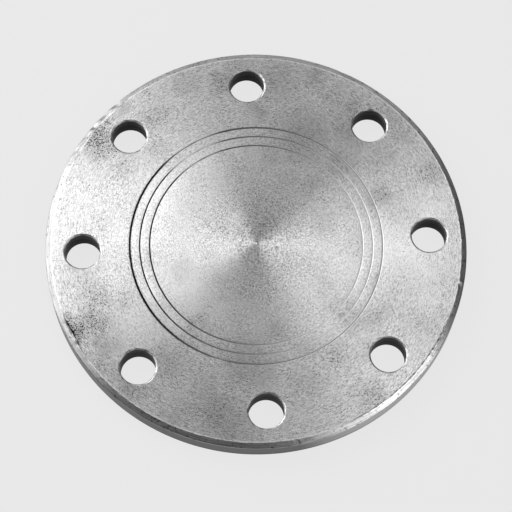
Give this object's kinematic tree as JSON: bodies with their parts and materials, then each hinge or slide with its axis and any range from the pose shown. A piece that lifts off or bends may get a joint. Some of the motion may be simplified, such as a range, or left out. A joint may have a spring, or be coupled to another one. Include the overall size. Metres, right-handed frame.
{
  "type": "blind flange",
  "caption": "Flat round plate blind flange that closes a flanged pipe end, with a ring of bolt holes, shallow concentric gasket grooves and a chamfered rim.",
  "frame": {"origin": "centre of the flat back face, which the flange lies on", "axes": "+Z out of the sealing face along the flange's axis, +X through the middle of the first bolt hole"},
  "size_m": [0.216, 0.216, 0.0127],
  "materials": {
    "machined_steel": "bare steel turned on a lathe, with fine concentric tool marks, light pitting and dark handling stains"
  },
  "bodies": {
    "root": {"blind_flange": "machined_steel"}
  },
  "joints": []
}
